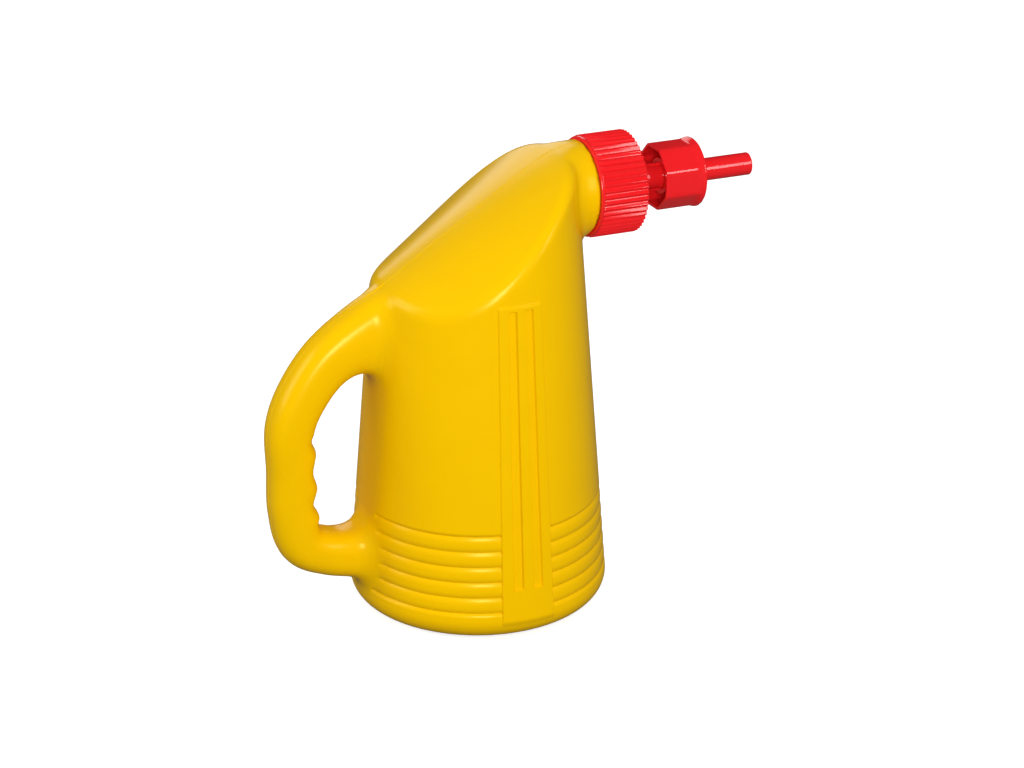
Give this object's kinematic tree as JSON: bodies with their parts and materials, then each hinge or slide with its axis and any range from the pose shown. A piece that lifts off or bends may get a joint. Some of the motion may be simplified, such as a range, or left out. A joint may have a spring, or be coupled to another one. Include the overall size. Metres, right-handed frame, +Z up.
{
  "type": "filling jug",
  "caption": "Blow-moulded jug with a hollow handle, a ribbed foot and a screw cap whose sprung nozzle opens when pressed on a battery cell.",
  "frame": {"origin": "on the table, under the middle of the whole jug from the handle's back to the nozzle's tip", "axes": "+Z up, +X the way the nozzle points, and +Y across, so that the handle, neck and nozzle lie in the plane Y = 0"},
  "size_m": [0.27, 0.1368, 0.2421],
  "materials": {
    "jug_plastic": "smooth yellow blow-moulded polyethylene",
    "cap_plastic": "glossy red moulded plastic",
    "valve_plastic": "natural white moulded plastic",
    "washer_rubber": "matt black rubber",
    "spring_steel": "bright drawn wire"
  },
  "bodies": {
    "jug": {"jug_body": "jug_plastic"},
    "washer": {"cap_washer": "washer_rubber"},
    "cap": {"screw_cap": "cap_plastic", "spring_seat": "valve_plastic", "return_spring": "spring_steel", "stem_ring": "washer_rubber"},
    "spout": {"spout": "cap_plastic", "valve_pin": "valve_plastic", "valve_seal": "washer_rubber"}
  },
  "joints": [
    {"name": "cap_lift", "type": "slide", "parent": "jug", "child": "washer", "axis": [1, 0, 0], "range_m": [0, 0.0064]},
    {"name": "cap_turn", "type": "hinge", "parent": "washer", "child": "cap", "pos_m": [0, 0, 0.2155], "axis": [1, 0, 0], "range_deg": [0, 540]},
    {"name": "spout_press", "type": "slide", "parent": "cap", "child": "spout", "axis": [1, 0, 0], "range_m": [-0.008, 0], "stiffness_N_per_m": 400, "springref_m": 0.01, "deforming": ["return_spring"]}
  ],
  "couplings": [
    {"joint": "cap_lift", "follows": "cap_turn", "m_per_rad": 0.00066845}
  ]
}
